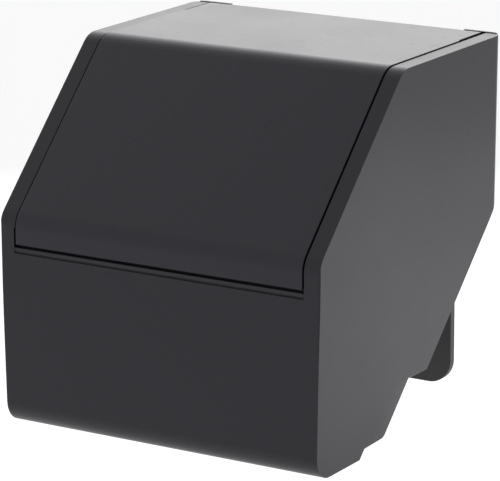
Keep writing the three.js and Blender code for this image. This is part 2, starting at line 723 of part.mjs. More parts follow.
// raised collar round each hole, on the inner side
for (const s of [-1, 1]) {
  const p = onSlope(s * ENTRY_X, ENTRY_Y, PANEL_D0 + 1);
  const q = onSlope(s * ENTRY_X, ENTRY_Y, PANEL_D1 + 4);
  panel = panel.add(
    cut(rod(p, q, ENTRY_R + 2.4, 40), rod(...onPanel(s * ENTRY_X, ENTRY_Y), ENTRY_R, 40)),
  );
}
for (const [s, y] of panelScrews)
  panel = panel.subtract(rod(onSlope(s * 90.5, y, 0), onSlope(s * 90.5, y, 8), 1.7, 12));
add("entry_panel", panel, "inner");
for (const [s, y] of panelScrews) {
  const name = "panel_screw_" + (y < 150 ? "lower" : "upper") + (s < 0 ? "_left" : "_right");
  let p = union(
    rod(onSlope(s * 90.5, y, PANEL_D0 - 0.6), onSlope(s * 90.5, y, 11.4), 1.3, 12),
    rod(onSlope(s * 90.5, y, PANEL_D0 - 2.0), onSlope(s * 90.5, y, PANEL_D0 - GAP), 2.3, 16, 3),
  );
  const g = new THREE.BoxGeometry(4, 0.8, 1.2);
  g.rotateX(Math.PI / 4);
  g.translate(...onSlope(s * 90.5, y, PANEL_D0 - 2.0));
  p = p.subtract(solid(g));
  add(name, p, "steel");
}

// ---------------------------------------------------------------- baffle
const BAFFLE_Z0 = Z_STEP_A + T + GAP;
const baffleOutline = rounded([[-96.6, BAFFLE_Z0], [96.6, BAFFLE_Z0], [96.6, 150, 10], [-96.6, 150, 10]], 5);
let baffle = alongY(baffleOutline, BAFFLE_Y, BAFFLE_Y + 2.4).intersect(betweenFlanks(T + GAP + 0.1));
baffle = baffle.subtract(rod([0, BAFFLE_Y - 3, 84], [0, BAFFLE_Y + 6, 84], 32, 40));
baffle = baffle.add(
  cut(
    rod([0, BAFFLE_Y + 1, 84], [0, BAFFLE_Y + 5.5, 84], 34.4, 40),
    rod([0, BAFFLE_Y - 3, 84], [0, BAFFLE_Y + 8, 84], 32, 40),
  ),
);
add("baffle", baffle, "inner");

// ---------------------------------------------------------------- bait tray, rods and blocks
const TR = 82;
const trayOut = [
  [41, 64, 0],
  [41, 11, 3],
  [69, 11, 3],
  [94, 38, 3],
  [106.5, 38, 3],
  [106.5, 64, 0],
];
const trayIn = [
  [43, 70, 0],
  [43, 13, 2],
  [68.2, 13, 2],
  [93.2, 40, 2],
  [104.5, 40, 2],
  [104.5, 70, 0],
];
let tray = cut(alongX(rounded(trayOut, 3), -TR, TR), alongX(rounded(trayIn, 3), -TR + 2, TR - 2));
// turned-out rim
tray = tray.add(
  cut(
    box(-TR - 2.5, TR + 2.5, 38.8, 107.0, 62, 64),
    box(-TR + 2, TR - 2, 43, 104.5, 60, 66),
  ),
);
const RODS = [
  [57.5, 32],
  [89, 57.5],
];
for (const [y, z] of RODS)
  for (const s of [-1, 1])
    tray = tray.subtract(box(s * TR - 4, s * TR + 4, y - 1.9, y + 1.9, z - 1.9, 70));
add("bait_tray", tray, "tray");
RODS.forEach(([y, z], i) => {
  const where = i ? "rear" : "front";
  const wire = union(
    rod([-TR - 1.8, y, z], [TR + 1.8, y, z], 1.5, 12),
    rod([TR + 1.6, y, z - 1.4], [TR + 1.6, y, z + (i ? 10 : 36)], 1.4, 12),
    rod([-TR - 1.6, y, z - 1.4], [-TR - 1.6, y, z + 6], 1.4, 12),
  );
  add("bait_rod_" + where, wire, "steel");
  for (const [side, x] of [["left", -37], ["right", 37]]) {
    // wax block with grooved flanks
    const h = 13;
    const b = 21;
    const outlineBlock = [];
    const ridge = (ax, ay, bx, by) => {
      // four small ridges from a to b, pushed outwards
      const n = 4;
      const dx = (bx - ax) / n;
      const dy = (by - ay) / n;
      const L = Math.hypot(dx, dy);
      const ox = -dy / L;
      const oy = dx / L;
      for (let k = 0; k < n; k++) {
        outlineBlock.push([ax + dx * (k + 0.12), ay + dy * (k + 0.12)]);
        outlineBlock.push([ax + dx * (k + 0.3) + ox * -1.1, ay + dy * (k + 0.3) + oy * -1.1]);
        outlineBlock.push([ax + dx * (k + 0.7) + ox * -1.1, ay + dy * (k + 0.7) + oy * -1.1]);
        outlineBlock.push([ax + dx * (k + 0.88), ay + dy * (k + 0.88)]);
      }
    };
    ridge(y - h, z - h, y + h, z - h);
    ridge(y + h, z - h, y + h, z + h);
    ridge(y + h, z + h, y - h, z + h);
    ridge(y - h, z + h, y - h, z - h);
    let block1 = alongX(outlineBlock, x - b, x + b);
    block1 = block1.subtract(rod([x - b - 1, y, z], [x + b + 1, y, z], 2.4, 16));
    add("bait_block_" + where + "_" + side, block1, "wax");
  }
});

// ---------------------------------------------------------------- wall bracket
const plateOutline = rounded([
  [-PLATE_HALF, PLATE_LOW, PLATE_R],
  [PLATE_HALF, PLATE_LOW, PLATE_R],
  [PLATE_HALF, PLATE_TOP, 8],
  [-PLATE_HALF, PLATE_TOP, 8],
], 6);
let plate = alongY(plateOutline, PLATE_FRONT, PLATE_BACK);
// keyholes for the upper wall screws, plain holes in the lower tab
const KEY_X = 22;
const KEY_Z = 138;
for (const s of [-1, 1]) {
  plate = plate.subtract(rod([s * KEY_X, 190, KEY_Z], [s * KEY_X, 210, KEY_Z], 5.2, 20));
  plate = plate.subtract(rod([s * KEY_X, 190, KEY_Z + 10], [s * KEY_X, 210, KEY_Z + 10], 2.6, 16));
  plate = plate.subtract(box(s * KEY_X - 2.6, s * KEY_X + 2.6, 190, 210, KEY_Z, KEY_Z + 10));
  plate = plate.subtract(rod([s * 52, 190, 16], [s * 52, 210, 16], 2.75, 16));
}
// climbing ribs
for (let z = 8; z <= 112; z += 8) plate = plate.add(box(-38, 38, PLATE_FRONT - 1.4, PLATE_FRONT + 0.5, z, z + 2));
// two hooks for the housing's rail
for (const s of [-1, 1]) {
  const hook = alongX(
    [
      [PLATE_FRONT + 0.5, 150],
      [PLATE_FRONT + 0.5, RAIL_Z0 - GAP],
      [RAIL_Y0 - 0.6, RAIL_Z0 - GAP],
      [RAIL_Y0 - 0.6, RAIL_Z0 + 9],
      [RAIL_Y0 - 1.6, RAIL_Z0 + 10],
      [RAIL_Y0 - 4.0, RAIL_Z0 + 10],
      [RAIL_Y0 - 4.0, RAIL_Z0 - 4],
    ].reverse(),
    s * HOOK_X - 9,
    s * HOOK_X + 9,
  );
  plate = plate.add(hook);
}
add("wall_bracket", plate, "inner");

// ---------------------------------------------------------------- whole part
pieces.position.set(0, -PLATE_BACK, -ORIGIN_Z);
const group = new THREE.Group();
group.add(pieces);
export default group;
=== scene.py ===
import json
import math
import bpy
import bmesh
from mathutils import Matrix, Vector

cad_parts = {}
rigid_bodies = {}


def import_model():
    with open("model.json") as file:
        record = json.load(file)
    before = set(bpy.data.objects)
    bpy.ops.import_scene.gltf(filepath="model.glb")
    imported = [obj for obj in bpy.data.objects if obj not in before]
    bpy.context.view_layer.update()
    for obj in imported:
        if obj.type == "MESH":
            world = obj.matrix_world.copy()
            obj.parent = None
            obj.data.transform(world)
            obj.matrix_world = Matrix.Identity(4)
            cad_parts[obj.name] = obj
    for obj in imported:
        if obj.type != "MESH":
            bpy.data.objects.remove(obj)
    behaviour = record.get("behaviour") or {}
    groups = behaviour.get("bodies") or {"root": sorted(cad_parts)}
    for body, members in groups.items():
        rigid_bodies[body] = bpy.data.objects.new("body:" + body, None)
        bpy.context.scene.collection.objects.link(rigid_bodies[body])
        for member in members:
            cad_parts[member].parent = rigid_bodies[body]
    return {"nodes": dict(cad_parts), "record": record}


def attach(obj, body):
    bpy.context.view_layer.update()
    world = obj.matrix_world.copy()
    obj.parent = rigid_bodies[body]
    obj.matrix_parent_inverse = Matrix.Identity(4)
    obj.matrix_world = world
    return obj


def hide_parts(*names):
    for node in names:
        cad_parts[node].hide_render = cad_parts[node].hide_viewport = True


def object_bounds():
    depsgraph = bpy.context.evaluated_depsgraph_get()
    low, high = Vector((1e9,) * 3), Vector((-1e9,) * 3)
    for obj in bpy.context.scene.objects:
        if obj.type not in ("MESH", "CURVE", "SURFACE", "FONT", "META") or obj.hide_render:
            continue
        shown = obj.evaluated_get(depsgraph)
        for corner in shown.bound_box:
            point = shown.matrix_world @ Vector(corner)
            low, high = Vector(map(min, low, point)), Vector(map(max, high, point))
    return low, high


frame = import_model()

CAD_BOX = [[float(c) for c in corner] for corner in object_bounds()]
NODES = frame["nodes"]
BODY_OF = {n: b for b, ns in frame["record"]["behaviour"]["bodies"].items() for n in ns}
SLOT_OF = {s["node"]: s["material_slot"] for s in frame["record"]["subparts"]}

MM = 0.001
WALL_Y = 200.5      # the wall, measured from the housing's front face, mm
ORIGIN_Z = 90.0     # height of the origin above the housing's underside, mm


def P(x, y, z):
    """Layout millimetres (front face y = 0, underside z = 0) to the row frame in metres."""
    return Vector((x * MM, (y - WALL_Y) * MM, (z - ORIGIN_Z) * MM))


scene = bpy.context.scene
coll = scene.collection

# ------------------------------------------------------------------ camera
cam_data = bpy.data.cameras.new("camera")
cam = bpy.data.objects.new("camera", cam_data)
coll.objects.link(cam)
yaw, pitch, roll = math.radians(31.7613), math.radians(14.7852), math.radians(-0.2927)
fwd = Vector((-math.sin(yaw) * math.cos(pitch), math.cos(yaw) * math.cos(pitch), -math.sin(pitch)))
right = Vector((math.cos(yaw), math.sin(yaw), 0.0))
up = right.cross(fwd)
r2 = math.cos(roll) * right + math.sin(roll) * up
u2 = -math.sin(roll) * right + math.cos(roll) * up
rot = Matrix((r2, u2, -fwd)).transposed().to_4x4()
cam.matrix_world = Matrix.Translation(P(904.384, -1366.522, 549.154)) @ rot
cam_data.sensor_width = 36.0
cam_data.lens = 3237.72 / 500 * 36.0
cam_data.clip_start = 0.05
cam_data.clip_end = 50
scene.camera = cam

# ------------------------------------------------------------------ materials


def new_material(name):
    m = bpy.data.materials.new(name)
    m.use_nodes = True
    nt = m.node_tree
    nt.nodes.clear()
    out = nt.nodes.new("ShaderNodeOutputMaterial")
    bsdf = nt.nodes.new("ShaderNodeBsdfPrincipled")
    nt.links.new(bsdf.outputs[0], out.inputs[0])
    return m, nt, bsdf


def noise(nt, coords, scale, detail=3.0, rough=0.5):
    n = nt.nodes.new("ShaderNodeTexNoise")
    n.inputs["Scale"].default_value = scale
    n.inputs["Detail"].default_value = detail
    n.inputs["Roughness"].default_value = rough
    nt.links.new(coords, n.inputs["Vector"])
    return n


def ramp(nt, fac, lo, hi, a, b):
    r = nt.nodes.new("ShaderNodeMapRange")
    r.inputs["From Min"].default_value = lo
    r.inputs["From Max"].default_value = hi
    r.inputs["To Min"].default_value = a
    r.inputs["To Max"].default_value = b
    r.clamp = True
    nt.links.new(fac, r.inputs["Value"])
    return r


def mix_colour(nt, fac, a, b):
    m = nt.nodes.new("ShaderNodeMix")
    m.data_type = "RGBA"
    nt.links.new(fac, m.inputs["Factor"])
    m.inputs["A"].default_value = (*a, 1)
    m.inputs["B"].default_value = (*b, 1)
    return m


def plastic(name, colour, rough=(0.36, 0.44), grain=0.05, grain_scale=2600, spec=0.5, tint=(1, 1, 1)):
    """Injection-moulded plastic: fine spark-eroded grain, faint flow clouding and scuffs."""
    m, nt, bsdf = new_material(name)
    tc = nt.nodes.new("ShaderNodeTexCoord")
    co = tc.outputs["Object"]
    fine = noise(nt, co, grain_scale, 2.0, 0.6)
    cloud = noise(nt, co, 14.0, 3.0, 0.55)
    scuff = noise(nt, co, 160.0, 5.0, 0.7)
    c = mix_colour(nt, ramp(nt, cloud.outputs["Fac"], 0.35, 0.65, 0, 1).outputs[0],
                   tuple(v * 0.93 for v in colour), tuple(v * 1.07 for v in colour))
    nt.links.new(c.outputs["Result"], bsdf.inputs["Base Color"])
    add = nt.nodes.new("ShaderNodeMath")
    add.operation = "ADD"
    nt.links.new(ramp(nt, cloud.outputs["Fac"], 0.3, 0.7, rough[0], rough[1]).outputs[0], add.inputs[0])
    nt.links.new(ramp(nt, scuff.outputs["Fac"], 0.55, 0.8, 0.0, 0.05).outputs[0], add.inputs[1])
    nt.links.new(add.outputs[0], bsdf.inputs["Roughness"])
    bsdf.inputs["Specular IOR Level"].default_value = spec
    bsdf.inputs["Specular Tint"].default_value = (*tint, 1)
    b = nt.nodes.new("ShaderNodeBump")
    b.inputs["Strength"].default_value = grain
    b.inputs["Distance"].default_value = 0.0001
    nt.links.new(fine.outputs["Fac"], b.inputs["Height"])
    nt.links.new(b.outputs[0], bsdf.inputs["Normal"])
    return m


def metal(name, colour, rough=(0.24, 0.4), scale=900, stretch=(1, 1, 0.04)):
    m, nt, bsdf = new_material(name)
    tc = nt.nodes.new("ShaderNodeTexCoord")
    mp = nt.nodes.new("ShaderNodeMapping")
    mp.inputs["Scale"].default_value = stretch
    nt.links.new(tc.outputs["Object"], mp.inputs["Vector"])
    fine = noise(nt, mp.outputs[0], scale, 3.0, 0.6)
    spots = noise(nt, tc.outputs["Object"], 90.0, 4.0, 0.6)
    c = mix_colour(nt, ramp(nt, spots.outputs["Fac"], 0.4, 0.7, 0, 1).outputs[0],
                   colour, tuple(v * 0.82 for v in colour))
    nt.links.new(c.outputs["Result"], bsdf.inputs["Base Color"])
    nt.links.new(ramp(nt, fine.outputs["Fac"], 0.3, 0.7, rough[0], rough[1]).outputs[0], bsdf.inputs["Roughness"])
    bsdf.inputs["Metallic"].default_value = 1.0
    b = nt.nodes.new("ShaderNodeBump")
    b.inputs["Strength"].default_value = 0.06
    b.inputs["Distance"].default_value = 0.0001
    nt.links.new(fine.outputs["Fac"], b.inputs["Height"])
    nt.links.new(b.outputs[0], bsdf.inputs["Normal"])
    return m


def rubber(name, colour):
    m, nt, bsdf = new_material(name)
    tc = nt.nodes.new("ShaderNodeTexCoord")
    n = noise(nt, tc.outputs["Object"], 1500, 3, 0.6)
    c = mix_colour(nt, n.outputs["Fac"], tuple(v * 0.8 for v in colour), tuple(v * 1.3 for v in colour))
    nt.links.new(c.outputs["Result"], bsdf.inputs["Base Color"])
    nt.links.new(ramp(nt, n.outputs["Fac"], 0.3, 0.7, 0.75, 0.9).outputs[0], bsdf.inputs["Roughness"])
    b = nt.nodes.new("ShaderNodeBump")
    b.inputs["Strength"].default_value = 0.2
    b.inputs["Distance"].default_value = 0.0001
    nt.links.new(n.outputs["Fac"], b.inputs["Height"])
    nt.links.new(b.outputs[0], bsdf.inputs["Normal"])
    return m


def wax(name, colour):
    """Pressed bait: waxy, with grain fragments in it."""
    m, nt, bsdf = new_material(name)
    tc = nt.nodes.new("ShaderNodeTexCoord")
    v = nt.nodes.new("ShaderNodeTexVoronoi")
    v.inputs["Scale"].default_value = 420
    nt.links.new(tc.outputs["Object"], v.inputs["Vector"])
    n = noise(nt, tc.outputs["Object"], 260, 4, 0.6)
    c = mix_colour(nt, ramp(nt, v.outputs["Distance"], 0.1, 0.55, 1, 0).outputs[0],
                   colour, tuple(min(1, x * 1.9 + 0.03) for x in colour))
    nt.links.new(c.outputs["Result"], bsdf.inputs["Base Color"])
    nt.links.new(ramp(nt, n.outputs["Fac"], 0.3, 0.7, 0.45, 0.7).outputs[0], bsdf.inputs["Roughness"])
    bsdf.inputs["Subsurface Weight"].default_value = 0.15
    bsdf.inputs["Subsurface Radius"].default_value = (0.002, 0.002, 0.003)
    b = nt.nodes.new("ShaderNodeBump")
    b.inputs["Strength"].default_value = 0.5
    b.inputs["Distance"].default_value = 0.0004
    nt.links.new(n.outputs["Fac"], b.inputs["Height"])
    nt.links.new(b.outputs[0], bsdf.inputs["Normal"])
    return m


MATS = {
    "shell": plastic("black_shell_plastic", (0.0068, 0.0066, 0.0082), (0.34, 0.38), 0.05, 2600, 0.44, (0.9, 0.875, 1.0)),
    "shell_housing": plastic("black_housing_plastic", (0.0064, 0.0063, 0.0078), (0.36, 0.40), 0.05, 2600, 0.40, (0.9, 0.885, 1.0)),
    "inner": plastic("black_inner_plastic", (0.016, 0.016, 0.018), (0.48, 0.58), 0.09),
    "bracket": plastic("black_bracket_plastic", (0.017, 0.017, 0.019), (0.44, 0.52), 0.08),
    "tray": plastic("grey_tray_plastic", (0.045, 0.046, 0.05), (0.40, 0.48), 0.06),
    "rubber": rubber("seal_rubber", (0.012, 0.012, 0.013)),
    "steel": metal("zinc_plated_steel", (0.55, 0.56, 0.58)),
    "brass": metal("lock_brass", (0.62, 0.47, 0.22), (0.22, 0.35), 700, (1, 1, 1)),
    "wax": wax("bait_wax", (0.035, 0.17, 0.30)),
}

# ------------------------------------------------------------------ mesh helpers


def apply_modifiers(obj):
    dg = bpy.context.evaluated_depsgraph_get()
    me = bpy.data.meshes.new_from_object(obj.evaluated_get(dg))
    obj.modifiers.clear()
    old = obj.data
    obj.data = me
    bpy.data.meshes.remove(old)
    return me


def room(face, edge):
    """How far the face runs, square to the edge, from the edge's middle to its far side."""
    a, b = edge.verts[0].co, edge.verts[1].co
    mid = (a + b) / 2
    along = (b - a).normalized()
    inward = face.normal.cross(along)
    if inward.dot(face.calc_center_median_weighted() - mid) < 0 and len(face.verts) < 6:
        inward.negate()
    # the loop's own direction tells which side the face is on, for faces with bays
    for lp in face.loops:
        if lp.edge == edge:
            inward = face.normal.cross((lp.link_loop_next.vert.co - lp.vert.co).normalized())
            break
    best = 1.0
    for lp in face.loops:
        e = lp.edge
        if e == edge:
            continue
        p, q = lp.vert.co - mid, lp.link_loop_next.vert.co - mid
        pu, qu = p.dot(along), q.dot(along)
        if (pu > 0) == (qu > 0) or abs(pu - qu) < 1e-9:
            continue
        t = pu / (pu - qu)
        d = (p + (q - p) * t).dot(inward)
        if 1e-6 < d < best:
            best = d
    return best


def finish_mesh(obj, width, segments=3, angle=28.0, cap=None):
    """Rounds the hard edges of obj, as wide as their faces leave room for, and applies it.
    cap(middle of an edge, layout mm) may ask for a narrower rounding there."""
    if width:
        w0 = width * MM
        bm = bmesh.new()
        bm.from_mesh(obj.data)
        bm.normal_update()
        lay = bm.edges.layers.float.get("bevel_weight_edge") or bm.edges.layers.float.new("bevel_weight_edge")
        lim = math.radians(angle)
        hard = {}
        for e in bm.edges:
            if len(e.link_faces) == 2 and e.calc_face_angle(0.0) > lim:
                hard[e] = min(w0, *(0.42 * room(f, e) for f in e.link_faces))
                if cap:
                    c = (e.verts[0].co + e.verts[1].co) / 2 / MM
                    hard[e] = min(hard[e], cap(c.x, c.y + WALL_Y, c.z + ORIGIN_Z) * MM)
        # edges that run on into each other smoothly share one width
        seen = set()
        for e in sorted(hard, key=lambda x: x.index):
            if e in seen:
                continue
            chain, todo = [], [e]
            seen.add(e)
            while todo:
                c = todo.pop()
                chain.append(c)
                for v in c.verts:
                    d0 = (c.other_vert(v).co - v.co).normalized()
                    for n in v.link_edges:
                        if n in hard and n not in seen:
                            d1 = (n.other_vert(v).co - v.co).normalized()
                            if d0.dot(d1) < -0.9:
                                seen.add(n)
                                todo.append(n)
            w = min(hard[c] for c in chain)
            for c in chain:
                c[lay] = max(0.02, min(1.0, w / w0))
        bm.to_mesh(obj.data)
        bm.free()
        b = obj.modifiers.new("edge_round", "BEVEL")
        b.width = w0
        b.segments = segments
        b.limit_method = "WEIGHT"
        b.use_clamp_overlap = False
        b.miter_outer = "MITER_ARC"
        b.loop_slide = True
        apply_modifiers(obj)
    return shade(obj)


def shade(obj, angle=40.0):
    """Smooth shading with the flat faces kept flat."""
    me = obj.data
    for p in me.polygons:
        p.use_smooth = True
    bm = bmesh.new()
    bm.from_mesh(me)
    lim = math.radians(angle)
    for e in bm.edges:
        e.smooth = not (len(e.link_faces) == 2 and e.calc_face_angle(0.0) > lim)
    bm.to_mesh(me)
    bm.free()
    w = obj.modifiers.new("normals", "WEIGHTED_NORMAL")
    w.mode = "FACE_AREA"
    w.weight = 60
    w.keep_sharp = True
    apply_modifiers(obj)
    return obj


def from_node(node, name=None):
    """A clean copy of a CAD node's mesh: merged, with flat faces as single polygons."""
    src = NODES[node]
    bm = bmesh.new()
    bm.from_mesh(src.data)
    bmesh.ops.remove_doubles(bm, verts=bm.verts, dist=2e-6)
    bmesh.ops.dissolve_limit(bm, angle_limit=math.radians(0.4), verts=bm.verts, edges=bm.edges)
    # frames round an opening are parted on these upright planes, so that no face closes a ring
    for x in (0.0, -84.0, 84.0):
        bmesh.ops.bisect_plane(bm, geom=bm.verts[:] + bm.edges[:] + bm.faces[:], dist=1e-7,
                               plane_co=(x * MM, 0, 0), plane_no=(1, 0, 0))
    me = bpy.data.meshes.new(name or node + "_finished")
    bm.to_mesh(me)
    bm.free()
    obj = bpy.data.objects.new(name or node + "_finished", me)
    coll.objects.link(obj)
    return obj


def place(obj, node, mat=None):
    obj.data.materials.clear()
    obj.data.materials.append(MATS[mat or SLOT_OF[node]])
    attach(obj, BODY_OF[node])
    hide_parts(node)
    return obj


def new_object(name, bm):
    bmesh.ops.recalc_face_normals(bm, faces=bm.faces)
    me = bpy.data.meshes.new(name)
    bm.to_mesh(me)
    bm.free()
    o = bpy.data.objects.new(name, me)
    coll.objects.link(o)
    return o


def lathe(name, origin, axis, profile, n=64, start=0.0):
    """Turns a closed profile of (radius, height) mm about an axis through origin (layout mm)."""
    bm = bmesh.new()
    ax = Vector(axis).normalized()
    side = ax.orthogonal().normalized()
    up2 = ax.cross(side)
    o = P(*origin)
    rings = []
    for r, h in profile:
        c = o + ax * (h * MM)
        if r < 1e-6:
            rings.append([bm.verts.new(c)])
            continue
        ring = []
        for k in range(n):
            a = start + 2 * math.pi * k / n
            ring.append(bm.verts.new(c + (side * math.cos(a) + up2 * math.sin(a)) * (r * MM)))
        rings.append(ring)
    m = len(rings)
    closed = len(rings[0]) > 1
    for i in range(m if closed else m - 1):
        a, b = rings[i], rings[(i + 1) % m]
        if len(a) == 1 and len(b) == 1:
            continue
        for k in range(n):
            k2 = (k + 1) % n
            if len(a) == 1:
                bm.faces.new((a[0], b[k], b[k2]))
            elif len(b) == 1:
                bm.faces.new((a[k], b[0], a[k2]))
            else:
                bm.faces.new((a[k], b[k], b[k2], a[k2]))
    return new_object(name, bm)


def rounded_profile(points, r, n=3):
    """Rounds each corner of an open (radius, height) profile that isn't on the axis."""
    out = []
    for i, p in enumerate(points):
        if i in (0, len(points) - 1) or p[0] < 1e-6:
            out.append(p)
            continue
        a = Vector(points[i - 1]) - Vector(p)
        b = Vector(points[i + 1]) - Vector(p)
        t = min(r, a.length * 0.45, b.length * 0.45)
        s, e = Vector(p) + a.normalized() * t, Vector(p) + b.normalized() * t
        for k in range(n + 1):
            u = k / n
            q = s * (1 - u) ** 2 + Vector(p) * 2 * u * (1 - u) + e * u ** 2
            out.append((q.x, q.y))
    return out


def prism(name, outline, a, b):
    """A solid from an outline of 3-D points (layout mm), swept by b (a vector, mm); the argument a is not used."""
    bm = bmesh.new()
    lo = [bm.verts.new(P(*p)) for p in outline]
    hi = [bm.verts.new(P(*p) + Vector(b) * MM) for p in outline]
    n = len(lo)
    bm.faces.new(lo)
    bm.faces.new(hi[::-1])
    for k in range(n):
        bm.faces.new((lo[k], lo[(k + 1) % n], hi[(k + 1) % n], hi[k]))
    return new_object(name, bm)


def boolean(obj, tools, op="DIFFERENCE", merge_flats=True):
    for t in tools:
        m = obj.modifiers.new("b", "BOOLEAN")
        m.operation = op
        m.solver = "EXACT"
        m.object = t
        apply_modifiers(obj)
        old = t.data
        bpy.data.objects.remove(t)
        bpy.data.meshes.remove(old)
    bm = bmesh.new()
    bm.from_mesh(obj.data)
    bmesh.ops.remove_doubles(bm, verts=bm.verts, dist=1e-6)
    if merge_flats:
        bmesh.ops.dissolve_limit(bm, angle_limit=math.radians(0.3), verts=bm.verts, edges=bm.edges)
    bm.to_mesh(obj.data)
    bm.free()
    return obj


def join(obj, others):
    """Adds the meshes of others to obj."""
    bm = bmesh.new()
    bm.from_mesh(obj.data)
    for t in others:
        bm.from_mesh(t.data)
        old = t.data
        bpy.data.objects.remove(t)
        bpy.data.meshes.remove(old)
    bm.to_mesh(obj.data)
    bm.free()
    return obj


def bar(name, centre, along, u, length, width, height):
    """A bar centred at a layout point, its length along `along` and its width along `u`."""
    al = Vector(along).normalized()
    uu = Vector(u).normalized()
    ww = al.cross(uu)
    bm = bmesh.new()
    c = P(*centre)
    vs = []
    for i in (-1, 1):
        for j in (-1, 1):
            for k in (-1, 1):
                vs.append(bm.verts.new(c + (al * i * length + uu * j * width + ww * k * height) * (MM / 2)))
    for f in ((0, 1, 3, 2), (4, 6, 7, 5), (0, 4, 5, 1), (2, 3, 7, 6), (0, 2, 6, 4), (1, 5, 7, 3)):
        bm.faces.new([vs[i] for i in f])
    return new_object(name, bm)


def wire(name, points, r, n=24):
    """A round wire along a polyline of layout points whose bends are already rounded."""
    pts = [P(*p) for p in points]
    bm = bmesh.new()
    prev = None
    rings = []
    ref = None
    for i, p in enumerate(pts):
        t = (pts[min(i + 1, len(pts) - 1)] - pts[max(i - 1, 0)]).normalized()
        ref = t.orthogonal().normalized() if ref is None else (ref - t * ref.dot(t)).normalized()
        w = t.cross(ref)
        rings.append([bm.verts.new(p + (ref * math.cos(2 * math.pi * k / n) + w * math.sin(2 * math.pi * k / n)) * r * MM)
                      for k in range(n)])
    for a, b in zip(rings, rings[1:]):
        for k in range(n):
            bm.faces.new((a[k], a[(k + 1) % n], b[(k + 1) % n], b[k]))
    for ring, p, d in ((rings[0], pts[0], pts[0] - pts[1]), (rings[-1], pts[-1], pts[-1] - pts[-2])):
        d = d.normalized() * (0.35 * r * MM)
        inner = [bm.verts.new(v.co * 0.3 + p * 0.7 + d) for v in ring]
        mid = [bm.verts.new(v.co * 0.8 + p * 0.2 + d * 0.62) for v in ring]
        for k in range(n):
            k2 = (k + 1) % n
            bm.faces.new((ring[k], ring[k2], mid[k2], mid[k]))
            bm.faces.new((mid[k], mid[k2], inner[k2], inner[k]))
        bm.faces.new(inner)
    return new_object(name, bm)


def bend(points, radius, n=10):
    """Rounds the inner corners of a polyline of 3-D layout points."""
    out = [tuple(points[0])]
    for i in range(1, len(points) - 1):
        p = Vector(points[i])
        a, b = Vector(points[i - 1]) - p, Vector(points[i + 1]) - p
        t = min(radius, a.length * 0.45, b.length * 0.45)
        s, e = p + a.normalized() * t, p + b.normalized() * t
        for k in range(n + 1):
            u = k / n
            out.append(tuple(s * (1 - u) ** 2 + p * 2 * u * (1 - u) + e * u ** 2))
    out.append(tuple(points[-1]))
    return out


# ------------------------------------------------------------------ shell pieces and flat parts
EDGE = {
    "housing": 0.45, "lid": 0.38, "entry_panel": 0.5, "baffle": 0.5,
    "bait_tray": 0.6, "spindle_bracket": 0.5, "lid_catch": 0.35,
    "lid_seal_left": 0.4, "lid_seal_right": 0.4,
}
for n in NODES:
    w = EDGE.get(n)
    if n.startswith("bait_block"):
        w = 0.6
    if w is None:
        continue
    o = from_node(n)
    if n == "housing":
        # softer edges round the lower rear of each side wall
        finish_mesh(o, 0.8, cap=lambda x, y, z: 0.8 if abs(x) > 95 and z < 32.5 and 46 < y < 118 else w)
        place(o, n, "shell_housing")
    else:
        finish_mesh(o, w)
        place(o, n)

# ------------------------------------------------------------------ turned parts, wires and fasteners
R2 = math.sqrt(2.0)
LOCK_Y = 30.0
CAM_Z = 104.0
UP = (0, 0, 1)


def screw(node, head_base, axis, head_r, head_h, shank_r, shank_len):
    """Pan-head screw with a cross recess; axis points from the tip to the head."""
    ax = Vector(axis).normalized()
    prof = [(0, -shank_len), (0.15, -shank_len), (shank_r * 0.8, -shank_len + 1.6)]
    h = -shank_len + 1.8
    while h < -1.0:
        prof += [(shank_r * 0.82, h), (shank_r, h + 0.22), (shank_r, h + 0.3), (shank_r * 0.82, h + 0.52)]
        h += 0.95
    prof += [(shank_r * 0.86, -0.25), (shank_r * 1.05, 0.0), (head_r * 0.93, 0.0), (head_r, 0.18), (head_r, head_h * 0.42)]
    for k in range(1, 7):
        a = k / 6 * math.pi / 2
        prof.append((head_r * (0.42 + 0.58 * math.cos(a)) if k < 6 else head_r * 0.42, head_h * (0.42 + 0.58 * math.sin(a))))
    prof.append((0, head_h))
    o = lathe(node + "_finished", head_base, axis, prof, 48)
    side = ax.orthogonal().normalized()
    side2 = ax.cross(side)
    top = Vector(head_base) + ax * head_h
    boolean(o, [bar("t1", top, side, side2, head_r * 1.15, 0.62, 1.6), bar("t2", top, side2, side, head_r * 1.15, 0.62, 1.6)])
    shade(o, 30)
    place(o, node)
    return o


for s, side in ((-1, "left"), (1, "right")):
    # hinge pins
    x0, x1 = 83.4, 96.1
    o = lathe(f"hinge_pin_{side}_finished", (s * x0, 192.0, 199.6), (s, 0, 0),
              rounded_profile([(0, 0), (1.5, 0), (1.5, x1 - x0), (0, x1 - x0)], 0.35, 4), 48)
    shade(o, 40)
    place(o, f"hinge_pin_{side}")
    # screws of the spindle bracket
    screw(f"bracket_screw_{side}", (s * 17, 12.1, 86), (0, 1, 0), 3.0, 2.1, 1.3, 7.5)
    # screws of the catch, square to the lid's slope, heads inwards
    x = -10 if s < 0 else 14
    d = 2.8 + 3 + 0.3 + 2 + 0.3
    yb = 29 + d / R2
    zb = 29 + 116.6 + 0.5 * R2 - d / R2
    screw(f"catch_screw_{side}", (x, yb, zb), (0, 1, -1), 2.9, 1.8, 1.2, 5.7)
    # screws of the entry panel, square to the undercut, heads outwards
    for y, lvl in ((134, "lower"), (178, "upper")):
        d = 2.0 - 0.3
        yb = y - d / R2
        zb = y - 85.6 + d / R2
        screw(f"panel_screw_{lvl}_{side}", (s * 90.5, yb, zb), (0, 1, -1), 3.0, 1.7, 1.3, 9.5)

